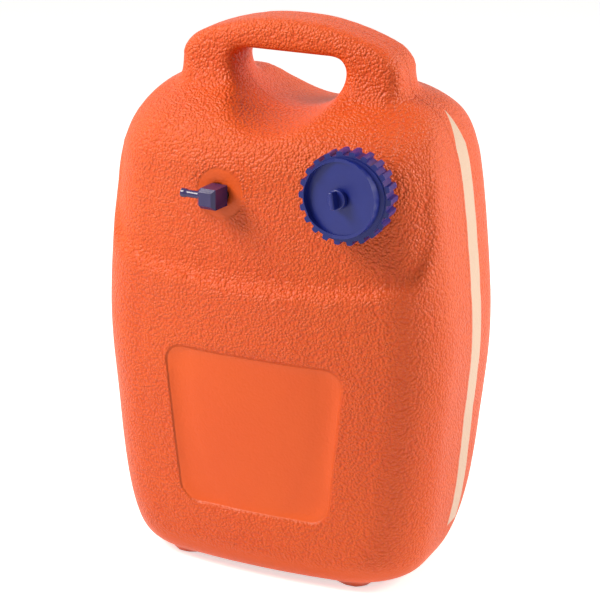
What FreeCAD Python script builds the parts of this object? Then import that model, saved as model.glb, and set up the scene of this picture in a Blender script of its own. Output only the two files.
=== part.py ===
# Portable outboard fuel tank: a blow-moulded body with its handle on top, a level strip
# let into the right side, a toothed filler cap with a vent screw, and a fuel outlet whose
# dip tube reaches down to a strainer. Millimetres, +Z up, the front faces -Y.
import FreeCAD
import Part
import math
import os

from FreeCAD import Rotation, Vector

os.makedirs("parts", exist_ok=True)

# Driving dimensions of the tank
WALL = 4.5
SHELL_BOTTOM = 4.5
SHELL_TOP = 442.0
HALF_WIDTH = 167.0
FRONT_REACH = 104.0
BACK_REACH = 104.0
CORNER_RADIUS = 55.0
FACE_CROWN_RADIUS = 620.0
SIDE_BOW_RADIUS = 900.0
STRIP_Y = 11.0
PARTING_Y = -3.0

# The handle
HANDLE_TOP = 500.0
HANDLE_ROOT = 392.0
EAR_HALF_WIDTH = 105.5
GRIP_DEPTH = 50.0
ROOT_DEPTH = 150.0
GRIP_HEIGHT = 31.0
HOLE_HALF_WIDTH = 52.0
HOLE_HEIGHT = 50.0
HOLE_CORNER = 9.0
CROWN_RADIUS = 217.0
EAR_RADIUS = 30.0
PINCH_ANGLE = 6.0
SWEEP_DROP = 36.0
HANDLE_EDGE_RADIUS = 9.0
MOUTH_FLARE = 12.0
MOUTH_REACH = 104.0
LEAST_RADIUS = 2.0

# The upper front is set back, and the lower front carries a sunk panel
SETBACK_DEPTH = 8.0
SETBACK_BOTTOM = 276.0
SETBACK_HALF_WIDTH = 188.0
SETBACK_SLOPE = 0.8
SETBACK_CORNER = 30.0
SETBACK_REACH = 76.0
PANEL_DEPTH = 3.0
PANEL_TOP = 219.0
PANEL_BOTTOM = 64.0
PANEL_TOP_HALF = 89.0
PANEL_BOTTOM_HALF = 73.0
PANEL_TOP_RADIUS = 16.0
PANEL_BOTTOM_RADIUS = 27.0
PANEL_SLOPE = 0.6
PANEL_REACH = 20.0
CUT_START = 10.0

# Moulded feet
FOOT_LENGTH = 28.0
FOOT_WIDTH = 26.0
FOOT_X = 84.0
FOOT_Y = 60.0
FOOT_RADIUS = 8.0
FOOT_SUNK = 8.0

# Level strip in the right-hand wall
STRIP_WIDTH = 22.0
STRIP_BOTTOM = 42.0
STRIP_TOP = 427.0
STRIP_POINT = 30.0

# Filler neck and cap
CAP_X = 90.0
CAP_Z = 374.0
CAP_YAW = 7.0
CAP_TILT = 4.0
NECK_RADIUS = 29.0
NECK_BORE = 24.0
NECK_HEIGHT = 12.0
NECK_ROOT = 14.0
CAP_GAP = 2.0
CAP_HEIGHT = 25.0
CAP_ROOT_RADIUS = 36.5
CAP_TIP_RADIUS = 39.7
CAP_TEETH = 22
CAP_FACE_STEP = 1.5
CAP_SKIRT_BORE = 31.5
GASKET_THICKNESS = 2.5
GASKET_FIT = 0.1

# The slanted dish in the cap and the vent screw in its middle
DISH_RADIUS = 31.0
DISH_TURN = 14.0
DISH_SHIFT = -4.0
DISH_LIP = 3.0
DISH_LIP_HEIGHT = 1.2
DISH_FLOOR = 3.0
VENT_SHANK_RADIUS = 3.0
VENT_SHANK_LENGTH = 12.0
VENT_HOLE_FIT = 0.06
VENT_KNOB_RADIUS = 8.5
VENT_KNOB_HEIGHT = 4.0
VENT_WING_HEIGHT = 8.0
VENT_WING_THICKNESS = 4.0
VENT_WING_LEAN = 10.0
SEAL_RADIUS = 5.6
SEAL_THICKNESS = 1.6

# Fuel outlet
OUTLET_X = -32.0
OUTLET_Z = 359.5
OUTLET_YAW = -5.0
OUTLET_TILT = 1.0
SEAT_RADIUS = 21.0
SEAT_HEIGHT = 0.8
BLOCK_SIDE = 18.0
BLOCK_DEPTH = 22.0
BLOCK_BEVEL = 3.0
STUB_RADIUS = 3.3
STUB_LENGTH = 20.0
STUB_BARB = 0.7
STUB_FLARE = 3.0
STUB_RING = 3.0
FUEL_BORE = 2.6
STEM_RADIUS = 7.0
STEM_FIT = 0.05
WASHER_RADIUS = 8.8
WASHER_THICKNESS = 1.2
NUT_RADIUS = 13.0
NUT_THICKNESS = 6.0
NUT_CLEARANCE = 2.5

# Dip tube and strainer inside
TUBE_RADIUS = 5.5
TUBE_BORE = 4.0
TUBE_FIT = 0.05
TUBE_RUN = 14.0
TUBE_BEND = 24.0
STEM_INSIDE = 16.0
SPIGOT_LENGTH = 8.0
STRAINER_RADIUS = 11.0
COLLAR_DEPTH = 6.0
PLATE_THICKNESS = 3.0
BAR_RADIUS = 1.3
BAR_INSET = 0.4
STRAINER_HEIGHT = 26.0
STRAINER_GAP = 5.0
STRAINER_BARS = 6
MESH_THICKNESS = 0.8

UP = Vector(0, 0, 1)


def smooth_value(points, z):
    """Value at z of the smooth curve through (z, value) points that never overshoots them."""
    spans = list(zip(points, points[1:]))
    slopes = [(b[1] - a[1]) / (b[0] - a[0]) for a, b in spans]
    tangents = [slopes[0]]
    for before, after in zip(slopes, slopes[1:]):
        tangents.append(0.0 if before * after <= 0 else 2 * before * after / (before + after))
    tangents.append(slopes[-1])
    i = 0
    while i < len(spans) - 1 and z > spans[i][1][0]:
        i += 1
    (z0, v0), (z1, v1) = spans[i]
    h = z1 - z0
    t = (z - z0) / h
    rise = v0 * (1 + 2 * t) * (1 - t) ** 2 + v1 * t * t * (3 - 2 * t)
    bend = tangents[i] * t * (1 - t) ** 2 - tangents[i + 1] * t * t * (1 - t)
    return rise + h * bend


# Outline of the shell seen from the front and from the side, as shares of the height between
# its bottom and its top, with the distance that each stands in from the widest reach.
SIDE_INSET = [(0.0, 47), (0.008, 39), (0.022, 31), (0.045, 25), (0.085, 19.5), (0.13, 15),
              (0.265, 8), (0.40, 3), (0.53, 0), (0.62, 2.5), (0.70, 5.5), (0.78, 9.5), (0.82, 12),
              (0.87, 15.5),
              (0.918, 22.5), (0.942, 27.5), (0.961, 33), (0.975, 39.5), (0.988, 49), (1.0, 63)]
FRONT_INSET = [(0.0, 28), (0.008, 18), (0.022, 11), (0.045, 7), (0.10, 3.5), (0.25, 1),
               (0.45, 0), (0.70, 0.5), (0.85, 1.5), (0.90, 5), (0.925, 12), (0.95, 26), (0.975, 45),
               (1.0, 66)]
BACK_INSET = [(0.0, 58), (0.008, 48), (0.022, 40), (0.045, 32), (0.10, 20), (0.25, 7),
              (0.45, 0), (0.70, 0.5), (0.85, 2), (0.90, 4), (0.925, 7), (0.95, 15), (0.975, 29),
              (1.0, 48)]
SECTION_SHARES = [0.0, 0.008, 0.022, 0.045, 0.085, 0.14, 0.25, 0.38, 0.52, 0.65, 0.76, 0.85,
                  0.895, 0.925, 0.95, 0.968, 0.984, 1.0]


def corner_centre(half, depth, corner):
    """Centre of the corner arc that is tangent inside the crowned face and the bowed side."""
    x = half - corner
    y = depth - corner
    face_reach = FACE_CROWN_RADIUS - corner
    side_reach = SIDE_BOW_RADIUS - corner
    for step in range(20):
        face_x, face_y = x / face_reach, (y - depth + FACE_CROWN_RADIUS) / face_reach
        side_x, side_y = (x - half + SIDE_BOW_RADIUS) / side_reach, y / side_reach
        face_miss = (math.hypot(face_x, face_y) - 1) * face_reach
        side_miss = (math.hypot(side_x, side_y) - 1) * side_reach
        turn = face_x * side_y - face_y * side_x
        x -= (face_miss * side_y - side_miss * face_y) / turn
        y -= (side_miss * face_x - face_miss * side_x) / turn
    return x, y


def section_wire(z, share, inset):
    """Level cut through the shell: crowned faces and bowed sides, tangent to the corners."""
    half = HALF_WIDTH - smooth_value(SIDE_INSET, share) - inset
    front = FRONT_REACH - smooth_value(FRONT_INSET, share) - inset
    back = BACK_REACH - smooth_value(BACK_INSET, share) - inset
    middle = (back - front) / 2
    depth = (back + front) / 2
    corner = min(CORNER_RADIUS - inset, 0.8 * depth)
    x, y = corner_centre(half, depth, corner)
    face_angle = math.atan2(y - depth + FACE_CROWN_RADIUS, x)
    side_angle = math.atan2(y, x - half + SIDE_BOW_RADIUS)

    def on_corner(angle, sx, sy):
        return Vector(sx * (x + corner * math.cos(angle)), middle + sy * (y + corner * math.sin(angle)), z)

    def corner_points(sx, sy):
        mean = (face_angle + side_angle) / 2
        return [on_corner(angle, sx, sy) for angle in (face_angle, mean, side_angle)]

    front_left, front_right = corner_points(-1, -1), corner_points(1, -1)
    back_left, back_right = corner_points(-1, 1), corner_points(1, 1)
    arcs = [
        Part.Arc(front_left[0], Vector(0, -front, z), front_right[0]),
        Part.Arc(front_right[0], front_right[1], front_right[2]),
        Part.Arc(front_right[2], Vector(half, middle, z), back_right[2]),
        Part.Arc(back_right[2], back_right[1], back_right[0]),
        Part.Arc(back_right[0], Vector(0, back, z), back_left[0]),
        Part.Arc(back_left[0], back_left[1], back_left[2]),
        Part.Arc(back_left[2], Vector(-half, middle, z), front_left[2]),
        Part.Arc(front_left[2], front_left[1], front_left[0]),
    ]
    return Part.Wire([arc.toShape() for arc in arcs])


def shell_solid(inset):
    """The whole shell, or with an inset the space inside its wall."""
    bottom = SHELL_BOTTOM + inset
    top = SHELL_TOP - inset
    wires = [section_wire(bottom + share * (top - bottom), share, inset) for share in SECTION_SHARES]
    return Part.makeLoft(wires, True)


def front_prism(edges, y0, y1):
    """Solid between two depths whose outline is drawn in the XZ plane."""
    face = Part.Face(Part.Wire(edges))
    face.translate(Vector(0, y0, 0))
    return face.extrude(Vector(0, y1 - y0, 0))


def point_xz(x, z):
    return Vector(x, 0, z)


def handle_outline(inset):
    """Legs, ears and crown of the handle seen from the front, each tangent to the next."""
    ear = EAR_HALF_WIDTH - inset
    top = HANDLE_TOP - inset
    crown_radius = CROWN_RADIUS - inset
    ear_radius = EAR_RADIUS - inset
    crown_z = top - crown_radius
    ear_x = ear - ear_radius
    span = crown_radius - ear_radius
    ear_z = crown_z + math.sqrt(span ** 2 - ear_x ** 2)
    join_x = crown_radius * ear_x / span
    join_z = crown_z + crown_radius * (ear_z - crown_z) / span
    pinch = math.radians(PINCH_ANGLE)
    neck_x = ear_x + ear_radius * math.cos(pinch)
    neck_z = ear_z - ear_radius * math.sin(pinch)
    root_x = neck_x - (neck_z - HANDLE_ROOT) * math.tan(pinch)
    edges = []
    for side in (-1, 1):
        edges.append(Part.makeLine(point_xz(side * root_x, HANDLE_ROOT), point_xz(side * neck_x, neck_z)))
        edges.append(Part.Arc(point_xz(side * neck_x, neck_z),
                              point_xz(side * (ear_x + ear_radius * math.cos(pinch)),
                                       ear_z + ear_radius * math.sin(pinch)),
                              point_xz(side * join_x, join_z)).toShape())
    edges.append(Part.Arc(point_xz(-join_x, join_z), point_xz(0, top), point_xz(join_x, join_z)).toShape())
    edges.append(Part.makeLine(point_xz(root_x, HANDLE_ROOT), point_xz(-root_x, HANDLE_ROOT)))
    return Part.__sortEdges__(edges)


def hole_outline(outset):
    """Flat-topped hand hole with a half-oval bottom."""
    half = HOLE_HALF_WIDTH + outset
    top = HANDLE_TOP - GRIP_HEIGHT + outset
    corner = HOLE_CORNER + outset
    side = top - corner
    low = HANDLE_TOP - GRIP_HEIGHT - HOLE_HEIGHT - outset
    c = corner * (1 - math.cos(math.radians(45)))
    oval = Part.Ellipse(point_xz(half, side), point_xz(0, low), point_xz(0, side))
    edges = [
        Part.makeLine(point_xz(-half + corner, top), point_xz(half - corner, top)),
        Part.Arc(point_xz(half - corner, top), point_xz(half - c, top - c),
                 point_xz(half, side)).toShape(),
        oval.toShape(0, math.pi),
        Part.Arc(point_xz(-half, side), point_xz(-half + c, top - c),
                 point_xz(-half + corner, top)).toShape(),
    ]
    return Part.__sortEdges__(edges)


def handle_profile(inset):
    """The handle seen from the side: a broad root that sweeps up into the thin grip."""
    grip = GRIP_DEPTH / 2 - inset
    root = ROOT_DEPTH / 2 - inset
    sweep_z = HANDLE_TOP - SWEEP_DROP
    rise = sweep_z - HANDLE_ROOT
    spread = root - grip
    sweep_radius = (spread ** 2 + rise ** 2) / (2 * spread)
    half_turn = math.asin(rise / sweep_radius) / 2
    mid_y = grip + sweep_radius * (1 - math.cos(half_turn))
    mid_z = sweep_z - sweep_radius * math.sin(half_turn)

    def at(y, z):
        return Vector(0, PARTING_Y + y, z)

    edges = [
        Part.Arc(at(-root, HANDLE_ROOT), at(-mid_y, mid_z), at(-grip, sweep_z)).toShape(),
        Part.makeLine(at(-grip, sweep_z), at(-grip, HANDLE_TOP + 5)),
        Part.makeLine(at(-grip, HANDLE_TOP + 5), at(grip, HANDLE_TOP + 5)),
        Part.makeLine(at(grip, HANDLE_TOP + 5), at(grip, sweep_z)),
        Part.Arc(at(grip, sweep_z), at(mid_y, mid_z), at(root, HANDLE_ROOT)).toShape(),
        Part.makeLine(at(root, HANDLE_ROOT), at(-root, HANDLE_ROOT)),
    ]
    face = Part.Face(Part.Wire(edges))
    face.translate(Vector(-200, 0, 0))
    return face.extrude(Vector(400, 0, 0))


def handle_solid(inset):
    """The handle with its rounded edges, or the hollow inside it."""
    reach = ROOT_DEPTH / 2 + 20
    outer = front_prism(handle_outline(inset), PARTING_Y - reach, PARTING_Y + reach)
    hole = front_prism(hole_outline(inset), PARTING_Y - reach, PARTING_Y + reach)
    plate = outer.cut(hole).common(handle_profile(inset)).Solids[0]
    edges = []
    for edge in plate.Edges:
        middle = edge.valueAt((edge.FirstParameter + edge.LastParameter) / 2)
        faces = plate.ancestorsOfType(edge, Part.Face)
        leans = [abs(face.normalAt(*face.Surface.parameter(middle)).y) for face in faces]
        if middle.z < HANDLE_ROOT + 0.1 or min(leans) > 0.05 or max(leans) < 0.5:
            continue
        edges.append(edge)
    rounded = plate.makeFillet(max(HANDLE_EDGE_RADIUS - inset, LEAST_RADIUS), edges)
    return rounded.Solids[0]


def tapered_panel(z_low, z_high, low_half, high_half, low_radius, high_radius, y, grow):
    """Outline of a round-cornered trapezoid at a depth, grown on every side."""
    lo, hi = low_half + grow, high_half + grow
    z0, z1 = z_low - grow, z_high + grow
    corners = [(-lo, z0, low_radius), (lo, z0, low_radius), (hi, z1, high_radius), (-hi, z1, high_radius)]
    edges = []
    ends = []
    for i, (x, z, radius) in enumerate(corners):
        here = Vector(x, y, z)
        before = Vector(corners[i - 1][0], y, corners[i - 1][1]) - here
        after = Vector(corners[(i + 1) % 4][0], y, corners[(i + 1) % 4][1]) - here
        before.normalize()
        after.normalize()
        half_angle = before.getAngle(after) / 2
        back_off = radius / math.tan(half_angle)
        centre_way = before + after
        centre_way.normalize()
        centre = here + centre_way * (radius / math.sin(half_angle))
        start, end = here + before * back_off, here + after * back_off
        middle = centre - centre_way * radius
        ends.append((start, end))
        edges.append(Part.Arc(start, middle, end).toShape())
    for i in range(4):
        edges.append(Part.makeLine(ends[i][1], ends[(i + 1) % 4][0]))
    return Part.Wire(Part.__sortEdges__(edges))


def setback_outline(y, grow):
    return tapered_panel(SETBACK_BOTTOM, SHELL_TOP + 60, SETBACK_HALF_WIDTH, SETBACK_HALF_WIDTH,
                         SETBACK_CORNER, SETBACK_CORNER, y, grow)


def panel_outline(y, grow):
    return tapered_panel(PANEL_BOTTOM, PANEL_TOP, PANEL_BOTTOM_HALF, PANEL_TOP_HALF,
                         PANEL_BOTTOM_RADIUS, PANEL_TOP_RADIUS, y, grow)


def sink(solid, outline, slope, depth, reach, inset):
    """Moves the front of the shell back by a depth inside an outline with sloping walls."""
    near = -FRONT_REACH - CUT_START
    far = -FRONT_REACH + reach + inset
    wide = outline(near, inset + slope * CUT_START)
    narrow = outline(far, inset - slope * reach)
    walls = Part.makeLoft([wide, narrow], True)
    floor = shell_solid(inset)
    floor.translate(Vector(0, depth, 0))
    return solid.cut(walls.cut(floor))


def frame_at(point, yaw, tilt):
    """Placement whose Z points out of the tank's front, turned by yaw and tipped up by tilt."""
    out = Vector(math.sin(math.radians(yaw)) * math.cos(math.radians(tilt)),
                 -math.cos(math.radians(yaw)) * math.cos(math.radians(tilt)),
                 math.sin(math.radians(tilt)))
    right = UP.cross(out).normalize()
    above = out.cross(right)
    return FreeCAD.Placement(point, Rotation(right, above, out, "ZXY"))


def placed(shape, frame):
    moved = shape.copy()
    moved.Placement = frame.multiply(moved.Placement)
    return moved


def front_surface_point(solid, x, z):
    """Where a line along Y at this x and z first meets the front of the tank."""
    ray = Part.makeLine(Vector(x, -2 * FRONT_REACH, z), Vector(x, 0, z))
    hits = ray.common(solid)
    return Vector(x, hits.BoundBox.YMin, z)


def ring(outer, inner, z0, z1):
    disc = Part.makeCylinder(outer, z1 - z0, Vector(0, 0, z0))
    return disc.cut(Part.makeCylinder(inner, z1 - z0, Vector(0, 0, z0)))


def polar(radius, angle, z):
    return Vector(radius * math.cos(angle), radius * math.sin(angle), z)


def toothed_disc(z0, z1):
    """Cap blank whose rim carries evenly spaced blunt teeth."""
    pitch = 2 * math.pi / CAP_TEETH
    root_half = 0.28 * pitch
    tip_half = 0.20 * pitch
    edges = []
    for i in range(CAP_TEETH):
        a = i * pitch
        foot_start = polar(CAP_ROOT_RADIUS, a - root_half, z0)
        tip_start = polar(CAP_TIP_RADIUS, a - tip_half, z0)
        tip_end = polar(CAP_TIP_RADIUS, a + tip_half, z0)
        foot_end = polar(CAP_ROOT_RADIUS, a + root_half, z0)
        next_foot = polar(CAP_ROOT_RADIUS, a + pitch - root_half, z0)
        edges.append(Part.makeLine(foot_start, tip_start))
        edges.append(Part.Arc(tip_start, polar(CAP_TIP_RADIUS + 0.3, a, z0), tip_end).toShape())
        edges.append(Part.makeLine(tip_end, foot_end))
        edges.append(Part.Arc(foot_end, polar(CAP_ROOT_RADIUS, a + pitch / 2, z0), next_foot).toShape())
    return Part.Face(Part.Wire(edges)).extrude(Vector(0, 0, z1 - z0))


def dish_frame():
    """The dish's floor, tipped towards the left of the cap."""
    return FreeCAD.Placement(Vector(DISH_SHIFT, 0, CAP_HEIGHT), Rotation(Vector(0, 1, 0), -DISH_TURN))


def make_cap():
    underside = NECK_HEIGHT + GASKET_THICKNESS + GASKET_FIT
    face = Part.makeCylinder(CAP_ROOT_RADIUS - CAP_FACE_STEP, CAP_HEIGHT - CAP_GAP, Vector(0, 0, CAP_GAP))
    blank = toothed_disc(CAP_GAP, CAP_HEIGHT - CAP_FACE_STEP).fuse(face)
    dish = dish_frame()
    collar = placed(Part.makeCylinder(DISH_RADIUS + DISH_LIP, 40 + DISH_LIP_HEIGHT, Vector(0, 0, -40)), dish)
    collar = collar.common(Part.makeCylinder(60, 60, Vector(0, 0, underside)))
    cap = blank.cut(Part.makeCylinder(CAP_SKIRT_BORE, underside - CAP_GAP, Vector(0, 0, CAP_GAP)))
    cap = cap.fuse(collar)
    cap = cap.cut(placed(Part.makeCylinder(DISH_RADIUS, 40), dish))
    # The underside is cored out below the dish, round a boss that holds the vent screw.
    core = Part.makeCylinder(NECK_BORE - 3, 40, Vector(DISH_SHIFT, 0, underside))
    core = core.cut(placed(Part.makeBox(200, 200, 100, Vector(-100, -100, -DISH_FLOOR)), dish))
    core = core.cut(placed(Part.makeCylinder(2 * VENT_SHANK_RADIUS, 40, Vector(0, 0, -40)), dish))
    cap = cap.cut(core)
    vent_hole = Part.makeCylinder(VENT_SHANK_RADIUS + VENT_HOLE_FIT, 60, Vector(0, 0, -30))
    return cap.cut(placed(vent_hole, dish))


def make_vent_screw():
    seat = SEAL_THICKNESS
    knob = Part.makeCylinder(VENT_KNOB_RADIUS, VENT_KNOB_HEIGHT, Vector(0, 0, seat))
    top_edge = [edge for edge in knob.Edges if edge.BoundBox.ZMin > seat + VENT_KNOB_HEIGHT - 0.1]
    knob = knob.makeFillet(1.2, top_edge)
    shank = Part.makeCylinder(VENT_SHANK_RADIUS, VENT_SHANK_LENGTH + seat, Vector(0, 0, -VENT_SHANK_LENGTH))
    tip = [edge for edge in shank.Edges if edge.BoundBox.ZMax < 0.1 - VENT_SHANK_LENGTH]
    shank = shank.makeChamfer(1.0, tip)
    half = VENT_KNOB_RADIUS - 1.0
    t = VENT_WING_THICKNESS / 2
    base = seat + VENT_KNOB_HEIGHT - 0.5
    wing = Part.makeBox(2 * t, 2 * half, VENT_WING_HEIGHT + 0.5, Vector(-t, -half, base))
    crests = [edge for edge in wing.Edges if edge.BoundBox.ZMin > base + 0.1 or edge.BoundBox.ZLength > 1]
    wing = wing.makeFillet(1.4, crests)
    wing.rotate(Vector(0, 0, 0), UP, VENT_WING_LEAN)
    return shank.fuse([knob, wing]).removeSplitter()


def make_outlet():
    """Square elbow with its hose stub to the left and its stem through the wall."""
    base = WASHER_THICKNESS
    side = BLOCK_SIDE
    block = Part.makeBox(side, side, BLOCK_DEPTH, Vector(-side / 2, -side / 2, base))
    front_edges = [edge for edge in block.Edges if edge.BoundBox.ZMin > base + 0.1
                   or (edge.BoundBox.ZLength > 1 and edge.BoundBox.XMax < 0)]
    block = block.makeChamfer(BLOCK_BEVEL, front_edges)
    stub_z = base + 0.55 * BLOCK_DEPTH
    left = Vector(-1, 0, 0)
    stub_start = Vector(-side / 2 + 1, 0, stub_z)
    stub = Part.makeCylinder(STUB_RADIUS, STUB_LENGTH + 1, stub_start, left)
    ring_at = Vector(-side / 2 - STUB_LENGTH + STUB_RING, 0, stub_z)
    tip_ring = Part.makeCylinder(STUB_RADIUS + STUB_BARB, STUB_RING, ring_at, left)
    flare = Part.makeCone(STUB_RADIUS, STUB_RADIUS + STUB_BARB, STUB_FLARE,
                          ring_at + Vector(STUB_FLARE, 0, 0), left)
    stem = Part.makeCylinder(STEM_RADIUS, STEM_INSIDE + base + 1, Vector(0, 0, -STEM_INSIDE))
    spigot = Part.makeCylinder(TUBE_BORE - TUBE_FIT, SPIGOT_LENGTH, Vector(0, 0, -STEM_INSIDE - SPIGOT_LENGTH))
    outlet = block.fuse([stub, flare, tip_ring, stem, spigot])
    inner_way = Part.makeCylinder(FUEL_BORE, STEM_INSIDE + SPIGOT_LENGTH + stub_z,
                                  Vector(0, 0, -STEM_INSIDE - SPIGOT_LENGTH))
    outer_way = Part.makeCylinder(FUEL_BORE, side / 2 + STUB_LENGTH, Vector(0, 0, stub_z), left)
    return outlet.cut([inner_way, outer_way]).removeSplitter()


def hex_nut(radius, bore, z0, z1):
    points = [polar(radius, i * math.pi / 3, z0) for i in range(7)]
    blank = Part.Face(Part.makePolygon(points)).extrude(Vector(0, 0, z1 - z0))
    return blank.cut(Part.makeCylinder(bore, z1 - z0, Vector(0, 0, z0)))


def make_dip_tube(start, inward, foot_z):
    """Tube from the outlet's stem, round one bend and straight down to the strainer."""
    level = inward * TUBE_RUN
    angle = inward.getAngle(Vector(0, 0, -1))
    leg = TUBE_BEND * math.tan(angle / 2)
    corner = start + level + inward * leg
    bend_start = start + level
    bend_end = corner - UP * leg
    centre_way = (bend_start - corner).normalize() + Vector(0, 0, -1)
    centre_way.normalize()
    centre = corner + centre_way * (TUBE_BEND / math.cos(angle / 2))
    bend_middle = centre - centre_way * TUBE_BEND
    foot = Vector(corner.x, corner.y, foot_z)
    path = Part.Wire([Part.makeLine(start, bend_start),
                      Part.Arc(bend_start, bend_middle, bend_end).toShape(),
                      Part.makeLine(bend_end, foot)])
    outer = Part.Wire(Part.makeCircle(TUBE_RADIUS, start, inward))
    inner = Part.Wire(Part.makeCircle(TUBE_BORE, start, inward))
    tube = path.makePipeShell([outer], True, False).cut(path.makePipeShell([inner], True, False))
    return tube.Solids[0], foot


def make_strainer(foot):
    """Open cage round the tube's foot: a collar, a base and bars between them."""
    top = foot.z + COLLAR_DEPTH
    low = foot.z - STRAINER_HEIGHT
    centre = Vector(foot.x, foot.y, 0)
    collar = ring(STRAINER_RADIUS, TUBE_RADIUS + TUBE_FIT, foot.z, top)
    base = Part.makeCylinder(STRAINER_RADIUS, PLATE_THICKNESS, Vector(0, 0, low))
    bars = []
    for i in range(STRAINER_BARS):
        at = polar(STRAINER_RADIUS - BAR_RADIUS - BAR_INSET, 2 * math.pi * i / STRAINER_BARS,
                   low + PLATE_THICKNESS / 2)
        bars.append(Part.makeCylinder(BAR_RADIUS, foot.z + COLLAR_DEPTH / 2 - at.z, at))
    cage = collar.fuse(bars + [base])
    mesh_radius = STRAINER_RADIUS - 2 * (BAR_RADIUS + BAR_INSET)
    mesh = ring(mesh_radius, mesh_radius - MESH_THICKNESS, low + PLATE_THICKNESS, foot.z)
    cage.translate(centre)
    mesh.translate(centre)
    return cage, mesh


def make_skin(inset):
    """Outer form of the tank, or with an inset the space inside it."""
    skin = shell_solid(inset)
    skin = sink(skin, setback_outline, SETBACK_SLOPE, SETBACK_DEPTH, SETBACK_REACH, inset)
    skin = sink(skin, panel_outline, PANEL_SLOPE, PANEL_DEPTH, PANEL_REACH, inset)
    return skin.fuse(handle_solid(inset)).cut(hole_way(inset))


def hole_way(inset):
    """The hand hole on both sides of the parting plane, wider towards each mouth."""
    narrow = Part.Wire(hole_outline(inset))
    halves = []
    for side in (-1, 1):
        wide = Part.Wire(hole_outline(inset + MOUTH_FLARE))
        near, far = narrow.copy(), wide
        near.translate(Vector(0, PARTING_Y, 0))
        far.translate(Vector(0, PARTING_Y + side * MOUTH_REACH, 0))
        halves.append(Part.makeLoft([near, far], True))
    return halves[0].fuse(halves[1])


def make_foot(x, y):
    blank = Part.makeBox(FOOT_LENGTH, FOOT_WIDTH, SHELL_BOTTOM + FOOT_SUNK,
                         Vector(x - FOOT_LENGTH / 2, y - FOOT_WIDTH / 2, 0))
    return blank.makeFillet(FOOT_RADIUS, [edge for edge in blank.Edges if edge.BoundBox.ZLength > 1])


def strip_prism():
    """Outline of the level strip, pointed at its top, pushed through the right-hand wall."""
    y0, y1 = STRIP_Y - STRIP_WIDTH / 2, STRIP_Y + STRIP_WIDTH / 2
    corners = [(y0, STRIP_BOTTOM), (y1, STRIP_BOTTOM), (y1, STRIP_TOP - STRIP_POINT),
               (STRIP_Y, STRIP_TOP), (y0, STRIP_TOP - STRIP_POINT), (y0, STRIP_BOTTOM)]
    outline = Part.makePolygon([Vector(HALF_WIDTH / 2, y, z) for y, z in corners])
    return Part.Face(outline).extrude(Vector(HALF_WIDTH, 0, 0))


outer = make_skin(0.0)
inner = make_skin(WALL)
cap_frame = frame_at(front_surface_point(outer, CAP_X, CAP_Z), CAP_YAW, CAP_TILT)
outlet_frame = frame_at(front_surface_point(outer, OUTLET_X, OUTLET_Z), OUTLET_YAW, OUTLET_TILT)
seat_top = FreeCAD.Placement(Vector(0, 0, SEAT_HEIGHT), Rotation())
outlet_frame_on_seat = outlet_frame.multiply(seat_top)

neck = Part.makeCylinder(NECK_RADIUS, NECK_HEIGHT + NECK_ROOT, Vector(0, 0, -NECK_ROOT))
neck_way = Part.makeCylinder(NECK_BORE, NECK_HEIGHT + 3 * NECK_ROOT, Vector(0, 0, -3 * NECK_ROOT))
seat = Part.makeCylinder(SEAT_RADIUS, SEAT_HEIGHT + WALL, Vector(0, 0, -WALL))
stem_way = Part.makeCylinder(STEM_RADIUS + STEM_FIT, 6 * WALL, Vector(0, 0, -5 * WALL))
feet = [make_foot(x, y) for x in (-FOOT_X, FOOT_X) for y in (-FOOT_Y, FOOT_Y)]

walls = outer.cut(inner)
walls = walls.fuse([placed(neck, cap_frame), placed(seat, outlet_frame)] + feet)
walls = walls.cut([placed(neck_way, cap_frame), placed(stem_way, outlet_frame)])
strip_way = strip_prism()
pieces = {
    "tank_body": walls.cut(strip_way),
    "level_strip": outer.cut(inner).common(strip_way),
}

# The cap's bodies stand on the neck; the vent screw's stand in the cap's dish
vent_frame = cap_frame.multiply(dish_frame())
gasket = ring(CAP_SKIRT_BORE - GASKET_FIT, NECK_BORE, NECK_HEIGHT, NECK_HEIGHT + GASKET_THICKNESS)
seal = ring(SEAL_RADIUS, VENT_SHANK_RADIUS + VENT_HOLE_FIT, 0, SEAL_THICKNESS)
pieces["filler_cap"] = placed(make_cap(), cap_frame)
pieces["cap_gasket"] = placed(gasket, cap_frame)
pieces["vent_screw"] = placed(make_vent_screw(), vent_frame)
pieces["vent_seal"] = placed(seal, vent_frame)

# The outlet's stem passes through its seat and is locked by a nut inside
washer = ring(WASHER_RADIUS, STEM_RADIUS + STEM_FIT, 0, WASHER_THICKNESS)
nut_front = -SEAT_HEIGHT - WALL - NUT_CLEARANCE
nut = hex_nut(NUT_RADIUS, STEM_RADIUS + STEM_FIT, nut_front - NUT_THICKNESS, nut_front)
tube_start = outlet_frame_on_seat.multVec(Vector(0, 0, -STEM_INSIDE))
inward = outlet_frame.Rotation.multVec(Vector(0, 0, -1))
strainer_foot_z = SHELL_BOTTOM + WALL + STRAINER_GAP + STRAINER_HEIGHT
tube, foot = make_dip_tube(tube_start, inward, strainer_foot_z)
cage, mesh = make_strainer(foot)
pieces["outlet_elbow"] = placed(make_outlet(), outlet_frame_on_seat)
pieces["outlet_washer"] = placed(washer, outlet_frame_on_seat)
pieces["outlet_nut"] = placed(nut, outlet_frame_on_seat)
pieces["dip_tube"] = tube
pieces["strainer_cage"] = cage
pieces["strainer_mesh"] = mesh

# The origin lies under the middle of the whole tank, at the level of the feet
whole = Part.makeCompound(list(pieces.values())).optimalBoundingBox()
shift = Vector(-whole.Center.x, -whole.Center.y, 0)
for name, shape in pieces.items():
    shape.translate(shift)
    shape.exportStep("parts/" + name + ".step")
    solids = len(shape.Solids)
    print(f"{name:15s} {solids} solid, {shape.Volume / 1000:8.1f} cm3, valid {shape.isValid()}")

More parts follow.
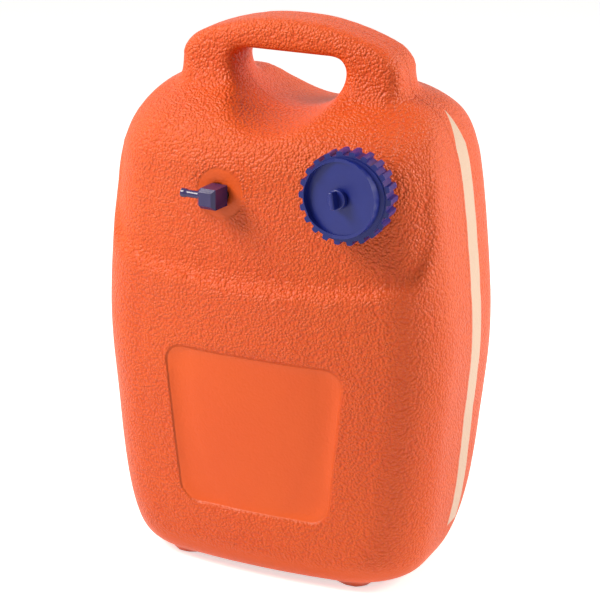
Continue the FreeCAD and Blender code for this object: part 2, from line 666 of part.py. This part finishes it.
print("litres inside", round(inner.Volume / 1e6, 2))
print("bounds", whole, "shift", shift)
for name, frame in (("cap", cap_frame), ("vent", vent_frame), ("outlet", outlet_frame_on_seat)):
    base = frame.Base + shift
    out = frame.Rotation.multVec(UP)
    right = frame.Rotation.multVec(Vector(1, 0, 0))
    print(name, "at", [round(v, 4) for v in base], "out", [round(v, 6) for v in out],
          "right", [round(v, 6) for v in right])
print("tube foot", foot + shift)
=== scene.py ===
import math

import bmesh
import bpy
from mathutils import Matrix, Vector


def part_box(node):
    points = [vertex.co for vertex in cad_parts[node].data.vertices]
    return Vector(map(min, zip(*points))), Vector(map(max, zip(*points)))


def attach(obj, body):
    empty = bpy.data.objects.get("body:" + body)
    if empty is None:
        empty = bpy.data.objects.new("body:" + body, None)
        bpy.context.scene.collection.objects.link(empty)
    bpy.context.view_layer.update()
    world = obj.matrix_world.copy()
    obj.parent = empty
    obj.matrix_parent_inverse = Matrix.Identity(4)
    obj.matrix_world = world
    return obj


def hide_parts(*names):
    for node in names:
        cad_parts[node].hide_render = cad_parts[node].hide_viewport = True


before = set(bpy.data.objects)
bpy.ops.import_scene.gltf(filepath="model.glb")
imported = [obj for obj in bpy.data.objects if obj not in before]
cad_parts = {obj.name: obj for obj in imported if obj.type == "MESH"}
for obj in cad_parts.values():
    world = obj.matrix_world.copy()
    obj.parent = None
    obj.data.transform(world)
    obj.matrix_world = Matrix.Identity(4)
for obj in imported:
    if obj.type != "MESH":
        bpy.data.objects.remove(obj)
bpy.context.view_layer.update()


# Tank body and level strip. High-density polyethylene, blow-moulded in one shot: orange walls
# with a strip of natural, unpigmented resin let into the right side. Both come from one even
# skin over the two solids, softened as the hot resin bridges the mould's edges.
VOXEL = 0.0036
WELD = 1e-6
SMOOTHING = 0.5
SKIN_PASSES = 4
ROOT_PASSES = 14
ROOT_Z = (0.385, 0.462)  # the handle's root, which is softened further

wall_mesh = bpy.data.meshes.new("tank_wall")
wall = bmesh.new()
for node in ("tank_body", "level_strip"):
    wall.from_mesh(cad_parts[node].data)
bmesh.ops.remove_doubles(wall, verts=wall.verts, dist=WELD)
wall.to_mesh(wall_mesh)
wall.free()
tank_skin = bpy.data.objects.new("tank_skin", wall_mesh)
bpy.context.scene.collection.objects.link(tank_skin)
remesh = tank_skin.modifiers.new("even", "REMESH")
remesh.mode = "VOXEL"
remesh.voxel_size = VOXEL
depsgraph = bpy.context.evaluated_depsgraph_get()
even = bpy.data.meshes.new_from_object(tank_skin.evaluated_get(depsgraph))
tank_skin.modifiers.clear()
tank_skin.data = even

skin = bmesh.new()
skin.from_mesh(even)


def soften(verts, passes):
    """Moves each vertex of the skin half-way to the middle of its neighbours, some times over."""
    for turn in range(passes):
        bmesh.ops.smooth_vert(skin, verts=verts, factor=SMOOTHING,
                              use_axis_x=True, use_axis_y=True, use_axis_z=True)


soften(skin.verts, SKIN_PASSES)
soften([vert for vert in skin.verts if ROOT_Z[0] < vert.co.z < ROOT_Z[1]], ROOT_PASSES)

# The strip is cut out of the skin by five planes: two long sides, a straight foot, and the two
# slopes of its pointed top.
STRIP_WIDTH = 0.022
STRIP_POINT = 0.030
STRIP_SIDE_X = 0.07

strip_low, strip_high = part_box("level_strip")
strip_y = (strip_low[1] + strip_high[1]) / 2
strip_top = Vector((0, strip_y, strip_high[2]))
cuts = [
    (Vector((0, strip_y - STRIP_WIDTH / 2, 0)), Vector((0, -1, 0))),
    (Vector((0, strip_y + STRIP_WIDTH / 2, 0)), Vector((0, 1, 0))),
    (Vector((0, 0, strip_low[2])), Vector((0, 0, -1))),
    (strip_top, Vector((0, -STRIP_POINT, STRIP_WIDTH / 2)).normalized()),
    (strip_top, Vector((0, STRIP_POINT, STRIP_WIDTH / 2)).normalized()),
]
for point, outward in cuts:
    side = [face for face in skin.faces if face.calc_center_median().x > STRIP_SIDE_X]
    edges = list(dict.fromkeys(edge for face in side for edge in face.edges))
    verts = list(dict.fromkeys(vert for face in side for vert in face.verts))
    bmesh.ops.bisect_plane(skin, geom=side + edges + verts, dist=WELD,
                           plane_co=point, plane_no=outward)


def in_strip(face):
    """True for a face of the right side that lies inside all five cuts."""
    centre = face.calc_center_median()
    return centre.x > STRIP_SIDE_X and all((centre - point).dot(outward) < WELD
                                           for point, outward in cuts)


def smooth_mesh(part, name):
    """Mesh of one part of the skin, shaded smooth."""
    for face in part.faces:
        face.smooth = True
    mesh = bpy.data.meshes.new(name)
    part.to_mesh(mesh)
    part.free()
    return mesh


strip = skin.copy()
outside = [face for face in strip.faces if not in_strip(face)]
bmesh.ops.delete(strip, geom=outside, context="FACES")
inside = [face for face in skin.faces if in_strip(face)]
bmesh.ops.delete(skin, geom=inside, context="FACES")
tank_skin.data = smooth_mesh(skin, "tank_skin")
strip_skin = bpy.data.objects.new("strip_skin", smooth_mesh(strip, "strip_skin"))
bpy.context.scene.collection.objects.link(strip_skin)


def srgb(code):
    """Linear colour from an sRGB hex value."""
    parts = [int(code[i:i + 2], 16) / 255 for i in (1, 3, 5)]
    linear = [c / 12.92 if c <= 0.04045 else ((c + 0.055) / 1.055) ** 2.4 for c in parts]
    return (*linear, 1.0)


def add_node(tree, kind, settings=None, **inputs):
    """One shader node with its settings, and its sockets set or linked by name."""
    node = tree.nodes.new(kind)
    for name, value in (settings or {}).items():
        setattr(node, name, value)
    for name, value in inputs.items():
        key = int(name[1:]) if name[0] == "_" and name[1:].isdigit() else name.replace("_", " ")
        socket = node.inputs[key]
        if isinstance(value, bpy.types.NodeSocket):
            tree.links.new(value, socket)
        else:
            socket.default_value = value
    return node


def new_material(name):
    """A material, its nodes, its surface shader, and the place of each point on the object."""
    material = bpy.data.materials.new(name)
    material.use_nodes = True
    tree = material.node_tree
    shader = tree.nodes["Principled BSDF"]
    place = add_node(tree, "ShaderNodeTexCoord").outputs["Object"]
    return material, tree, shader, place


def two_colours(tree, factor, low, high):
    """The colour between two, from low where the factor is 0 to high where it is 1."""
    mix = add_node(tree, "ShaderNodeMix", {"data_type": "RGBA"},
                   _0=factor, _6=srgb(low), _7=srgb(high))
    return mix.outputs[2]


def step(tree, value, start, end):
    """Smooth rise from 0 at one distance to 1 at another."""
    rise = add_node(tree, "ShaderNodeMapRange", {"interpolation_type": "SMOOTHSTEP"}, Value=value,
                    From_Min=start, From_Max=end)
    return rise.outputs["Result"]


def combine(tree, operation, *values):
    """The values joined by one operation, two at a time."""
    total = values[0]
    for value in values[1:]:
        joined = add_node(tree, "ShaderNodeMath", {"operation": operation}, _0=total, _1=value)
        total = joined.outputs[0]
    return total


def invert(tree, value):
    """1 where the value is 0, and 0 where it is 1."""
    return combine(tree, "SUBTRACT", 1.0, value)


def noise(tree, place, size, detail=3.0):
    """Cloudy noise whose patches are about as wide as the size, in metres."""
    return add_node(tree, "ShaderNodeTexNoise", Vector=place, Scale=1 / size, Detail=detail)


def relief(tree, shader, height, strength, distance):
    """Bump on the shader from a height, as deep as the distance at full strength."""
    bump = add_node(tree, "ShaderNodeBump", Strength=strength, Distance=distance, Height=height)
    tree.links.new(bump.outputs["Normal"], shader.inputs["Normal"])


def paint(thing, material):
    """The material on an object, in place of any it had."""
    thing.data.materials.clear()
    thing.data.materials.append(material)


# The etched mould prints a pebble grain, 2.4 mm from pebble to pebble, with a fine speckle on
# it. The mould's two halves meet in one plane and leave a thin raised flash along it.
GRAIN = 0.0024
GRAIN_SWAY = 1.5 * GRAIN
SWAY_SIZE = 4 * GRAIN
SPECKLE_SIZE = 0.35 * GRAIN
SPECKLE_SHARE = 0.15
GRAIN_DEPTH = 0.0018
PARTING_Y = 0.0087
FLASH_HALF = (0.0003, 0.0011)
FLASH_SHARE = 0.6


def moulded_grain(tree, place, shader, strength, plain=None, sunk=None):
    """Pebble grain of an etched mould: raised cells of uneven size between narrow valleys.

    The mould is polished where plain is 1 and stands deeper where sunk is 1. Returns how far each
    point lies from its cell's middle."""
    sway = noise(tree, place, SWAY_SIZE, 2.0)
    spot = add_node(tree, "ShaderNodeVectorMath", {"operation": "MULTIPLY_ADD"},
                    _0=sway.outputs["Color"], _1=(GRAIN_SWAY, GRAIN_SWAY, GRAIN_SWAY), _2=place)
    cells = add_node(tree, "ShaderNodeTexVoronoi", {"feature": "SMOOTH_F1"},
                     Vector=spot.outputs[0], Scale=1 / GRAIN, Smoothness=0.3)
    fine = noise(tree, place, SPECKLE_SIZE, 2.0)
    pebble = invert(tree, cells.outputs["Distance"])
    speckle = combine(tree, "MULTIPLY", fine.outputs["Fac"], SPECKLE_SHARE)
    height = combine(tree, "ADD", pebble, speckle)
    if plain is not None:
        height = combine(tree, "MULTIPLY", height, invert(tree, plain))
        height = combine(tree, "SUBTRACT", height, sunk)
    depth_y = add_node(tree, "ShaderNodeSeparateXYZ", Vector=place).outputs["Y"]
    from_parting = add_node(tree, "ShaderNodeMath", {"operation": "ABSOLUTE"},
                            _0=combine(tree, "SUBTRACT", depth_y, PARTING_Y)).outputs[0]
    flash = invert(tree, step(tree, from_parting, *FLASH_HALF))
    total = combine(tree, "ADD", height, combine(tree, "MULTIPLY", flash, FLASH_SHARE))
    relief(tree, shader, total, strength, GRAIN_DEPTH)
    return cells.outputs["Distance"]


# The sunk panel, the round seat of the outlet and the underside were left smooth in the mould.
# The panel is a tapered shape with round corners, wider at its top.
PANEL_FOOT_HALF = 0.0664  # half its width, carried down to the floor
PANEL_SPREAD = 0.1032  # growth of the half width for each metre of height
PANEL_EDGE = 0.003
PANEL_CORNER = 0.019
PANEL_Z = (0.066, 0.217)
FRONT_Y = (-0.080, -0.074)  # the panel's zone ends between these depths
SEAT_AT = (-0.032, -0.083, 0.3595)
SEAT_REACH = 0.024
SEAT_EDGE = 0.003
UNDERSIDE_Z = (0.020, 0.034)  # the grain starts between these heights
POLISH = 0.85  # share of the grain that is gone where it is smooth

# Orange polyethylene: waxy, between matt and gloss, a little uneven in shade where the resin
# flowed. The grain's valleys look redder, because light passes from pebble to pebble in them.
BODY_GRAIN = 0.8
BODY_CLOUD = 1 / 9
VALLEY = (0.35, 0.75)
VALLEY_SHADE = 0.35
PLAIN_SHADE = 0.4
BODY_ROUGH = (0.38, 0.16)

body_plastic, tree, shader, place = new_material("orange_moulded_polyethylene")
axes = add_node(tree, "ShaderNodeSeparateXYZ", Vector=place).outputs
in_front = invert(tree, step(tree, axes["Y"], *FRONT_Y))
half_width = combine(tree, "ADD", PANEL_FOOT_HALF - PANEL_CORNER,
                     combine(tree, "MULTIPLY", axes["Z"], PANEL_SPREAD))
from_middle = combine(tree, "MAXIMUM", axes["X"], combine(tree, "MULTIPLY", axes["X"], -1.0))
past_side = combine(tree, "MAXIMUM", combine(tree, "SUBTRACT", from_middle, half_width), 0.0)
past_top = combine(tree, "SUBTRACT", axes["Z"], PANEL_Z[1] - PANEL_CORNER)
past_foot = combine(tree, "SUBTRACT", PANEL_Z[0] + PANEL_CORNER, axes["Z"])
past_end = combine(tree, "MAXIMUM", past_top, past_foot, 0.0)
squares = combine(tree, "ADD", combine(tree, "MULTIPLY", past_side, past_side),
                  combine(tree, "MULTIPLY", past_end, past_end))
past_corner = combine(tree, "POWER", squares, 0.5)
in_outline = invert(tree, step(tree, past_corner, PANEL_CORNER - PANEL_EDGE, PANEL_CORNER))
panel = combine(tree, "MULTIPLY", in_front, in_outline)
from_seat = add_node(tree, "ShaderNodeVectorMath", {"operation": "DISTANCE"},
                     _0=place, _1=SEAT_AT)
seat = invert(tree, step(tree, from_seat.outputs["Value"], SEAT_REACH - SEAT_EDGE, SEAT_REACH))
underside = invert(tree, step(tree, axes["Z"], *UNDERSIDE_Z))
plain = combine(tree, "MULTIPLY", combine(tree, "MAXIMUM", panel, seat, underside), POLISH)
cells = moulded_grain(tree, place, shader, BODY_GRAIN, plain, panel)
cloud = noise(tree, place, BODY_CLOUD).outputs["Fac"]
valley = step(tree, cells, *VALLEY)
shade = combine(tree, "SUBTRACT", VALLEY_SHADE, combine(tree, "MULTIPLY", plain, PLAIN_SHADE))
mixed = add_node(tree, "ShaderNodeMix", {"data_type": "RGBA"},
                 _0=combine(tree, "MULTIPLY", valley, shade),
                 _6=two_colours(tree, cloud, "#E0500F", "#EC641F"), _7=srgb("#D03A0C"))
tree.links.new(mixed.outputs[2], shader.inputs["Base Color"])
rough = combine(tree, "ADD", BODY_ROUGH[0], combine(tree, "MULTIPLY", cloud, BODY_ROUGH[1]))
tree.links.new(rough, shader.inputs["Roughness"])
shader.inputs["IOR"].default_value = 1.5
shader.inputs["Specular IOR Level"].default_value = 0.42
paint(tank_skin, body_plastic)
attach(tank_skin, "tank")
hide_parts("tank_body")

# Natural polyethylene: milky and warm, because the orange wall's light bleeds into it, and
# with only a faint print of the same grain.
STRIP_GRAIN = 0.25
STRIP_CLOUD = 1 / 14

strip_plastic, tree, shader, place = new_material("natural_polyethylene")
moulded_grain(tree, place, shader, STRIP_GRAIN)
cloud = noise(tree, place, STRIP_CLOUD).outputs["Fac"]
tree.links.new(two_colours(tree, cloud, "#D6B69E", "#DEC3AD"), shader.inputs["Base Color"])
shader.inputs["Roughness"].default_value = 0.45
paint(strip_skin, strip_plastic)
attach(strip_skin, "tank")
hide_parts("level_strip")


# Filler cap and vent screw. Blue polypropylene from a polished injection mould: even in colour,
# half glossy, with a faint skin of fine waves that softens the highlights on the teeth.
CAP_CLOUD = 1 / 60
CAP_WAVES = 1 / 1200

cap_plastic, tree, shader, place = new_material("blue_moulded_polypropylene")
cloud = noise(tree, place, CAP_CLOUD).outputs["Fac"]
fine = noise(tree, place, CAP_WAVES).outputs["Fac"]
relief(tree, shader, fine, 0.12, 0.0002)
tree.links.new(two_colours(tree, cloud, "#0D1A70", "#132480"), shader.inputs["Base Color"])
shader.inputs["Roughness"].default_value = 0.38
for node in ("filler_cap", "vent_screw"):
    paint(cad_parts[node], cap_plastic)


# Outlet elbow. Dark blue acetal, injection moulded in a mirror-smooth mould, so it is the
# glossiest part of the tank and shows sharp highlights on its corners and barb.
ELBOW_CLOUD = 1 / 90
ELBOW_WAVES = 1 / 700

fitting_plastic, tree, shader, place = new_material("dark_blue_acetal")
cloud = noise(tree, place, ELBOW_CLOUD).outputs["Fac"]
tree.links.new(two_colours(tree, cloud, "#241A50", "#31256A"), shader.inputs["Base Color"])
fine = noise(tree, place, ELBOW_WAVES, 2.0).outputs["Fac"]
relief(tree, shader, fine, 0.1, 0.0002)
shader.inputs["Roughness"].default_value = 0.2
paint(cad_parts["outlet_elbow"], fitting_plastic)


# Cap gasket, vent seal and outlet washer. Black nitrile rubber, pressed and cut from sheet:
# matt, with a fine dusty grain.
RUBBER_GRAIN = 1 / 900

rubber, tree, shader, place = new_material("black_nitrile_rubber")
fine = noise(tree, place, RUBBER_GRAIN).outputs["Fac"]
relief(tree, shader, fine, 0.2, 0.0002)
tree.links.new(two_colours(tree, fine, "#141414", "#202020"), shader.inputs["Base Color"])
shader.inputs["Roughness"].default_value = 0.7
for node in ("cap_gasket", "vent_seal", "outlet_washer"):
    paint(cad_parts[node], rubber)


# Outlet nut, dip tube and strainer cage. Natural nylon, injection moulded and extruded: ivory
# white, half glossy, with slow sink waves where thick parts cooled last.
NYLON_WAVES = 1 / 50

nylon, tree, shader, place = new_material("natural_nylon")
cloud = noise(tree, place, NYLON_WAVES).outputs["Fac"]
relief(tree, shader, cloud, 0.1, 0.0003)
tree.links.new(two_colours(tree, cloud, "#D8D4C6", "#E6E2D6"), shader.inputs["Base Color"])
shader.inputs["Roughness"].default_value = 0.45
for node in ("outlet_nut", "dip_tube", "strainer_cage"):
    paint(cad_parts[node], nylon)


# Strainer mesh. Stainless wire cloth rolled to a sleeve: bright bands of wire with greyer gaps
# between them, so fine that it reads as plain grey metal from afar.
MESH_WIRE = 0.0008
WAVE_SHARE = 6.28  # a wave is 0.314 m long at scale 1, so this makes it a wire and a gap long

steel, tree, shader, place = new_material("woven_stainless_mesh")
weave = add_node(tree, "ShaderNodeTexWave", {"bands_direction": "Z"}, Vector=place,
                 Scale=1 / (WAVE_SHARE * MESH_WIRE)).outputs["Fac"]
relief(tree, shader, weave, 0.6, 0.0004)
tree.links.new(two_colours(tree, weave, "#8C8F92", "#C8CACC"), shader.inputs["Base Color"])
shader.inputs["Metallic"].default_value = 1.0
shader.inputs["Roughness"].default_value = 0.35
paint(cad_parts["strainer_mesh"], steel)


# Studio. A white floor that keeps the tank's soft shadow, and a surround that is white to look
# at but lights the tank only dimly, so that the lamps shape it.
FLOOR_HALF = 4.0
FLOOR_LIFT = 0.62
SURROUND_LIGHT = 0.22


def seen_rays(tree):
    """1 for rays from the camera, off a gloss or through a clear part, and 0 for all others."""
    path = add_node(tree, "ShaderNodeLightPath").outputs
    return combine(tree, "MAXIMUM", path["Is Camera Ray"], path["Is Glossy Ray"],
                   path["Is Transmission Ray"])


floor_mesh = bpy.data.meshes.new("studio_floor")
sheet = bmesh.new()
bmesh.ops.create_grid(sheet, x_segments=1, y_segments=1, size=FLOOR_HALF)
sheet.to_mesh(floor_mesh)
sheet.free()
studio_floor = bpy.data.objects.new("studio_floor", floor_mesh)
bpy.context.scene.collection.objects.link(studio_floor)
floor_paint, tree, shader, place = new_material("studio_floor_paint")
shader.inputs["Base Color"].default_value = srgb("#F2F2F2")
shader.inputs["Roughness"].default_value = 0.9
lift = add_node(tree, "ShaderNodeEmission", Color=srgb("#FFFFFF"),
                Strength=combine(tree, "MULTIPLY", seen_rays(tree), FLOOR_LIFT))
both = add_node(tree, "ShaderNodeAddShader", _0=shader.outputs[0], _1=lift.outputs[0])
tree.links.new(both.outputs[0], tree.nodes["Material Output"].inputs["Surface"])
studio_floor.data.materials.append(floor_paint)

world = bpy.data.worlds.new("studio")
bpy.context.scene.world = world
world.use_nodes = True
tree = world.node_tree
background = tree.nodes["Background"]
background.inputs["Color"].default_value = srgb("#FFFFFF")
background.inputs["Strength"].default_value = SURROUND_LIGHT
bright = add_node(tree, "ShaderNodeBackground", Color=srgb("#FFFFFF"), Strength=1.0)
blend = add_node(tree, "ShaderNodeMixShader", _0=seen_rays(tree), _1=background.outputs[0],
                 _2=bright.outputs[0])
tree.links.new(blend.outputs[0], tree.nodes["World Output"].inputs["Surface"])

# Two square soft boxes, faintly warm: the key high in front on the left, and a lower one on the
# right, a little behind the tank, that lights the strip's side. Bearings are from the front.
aim = Vector((0.0, 0.0117, 0.2371))
LAMP_DISTANCE = 2.0
LAMP_SIZE = 0.8
LAMP_TINT = "#FFF6EA"


def direction(turn, rise):
    """Way out from the tank at a turn to the right of its front and a rise over the floor."""
    return Vector((math.sin(turn) * math.cos(rise), -math.cos(turn) * math.cos(rise),
                   math.sin(rise)))


def add_lamp(name, turn, rise, power):
    """Square soft box that faces the tank, from a turn and a rise in degrees."""
    lamp = bpy.data.lights.new(name, "AREA")
    lamp.size = LAMP_SIZE
    lamp.energy = power
    lamp.color = srgb(LAMP_TINT)[:3]
    holder = bpy.data.objects.new(name, lamp)
    bpy.context.scene.collection.objects.link(holder)
    outward = direction(math.radians(turn), math.radians(rise))
    holder.location = aim + outward * LAMP_DISTANCE
    holder.rotation_euler = outward.to_track_quat("Z", "Y").to_euler()


add_lamp("key_lamp", -52, 42, 42)
add_lamp("side_lamp", 112, 25, 31)

# Camera at the photo's angle. Its lens is the focal length that the outline was fitted with,
# 2270 of the photo's 600 pixels.
CAMERA_TURN = math.radians(25.2)
CAMERA_RISE = math.radians(19.6)
CAMERA_DISTANCE = 2.054
SENSOR = 36.0
FOCAL_PIXELS = 2270
PHOTO_PIXELS = 600

camera_data = bpy.data.cameras.new("camera")
camera_data.lens = SENSOR * FOCAL_PIXELS / PHOTO_PIXELS
camera_data.sensor_width = SENSOR
camera = bpy.data.objects.new("camera", camera_data)
bpy.context.scene.collection.objects.link(camera)
view = direction(CAMERA_TURN, CAMERA_RISE)
camera.location = aim + view * CAMERA_DISTANCE
camera.rotation_euler = view.to_track_quat("Z", "Y").to_euler()
bpy.context.scene.camera = camera
bpy.context.scene.view_settings.view_transform = "Standard"
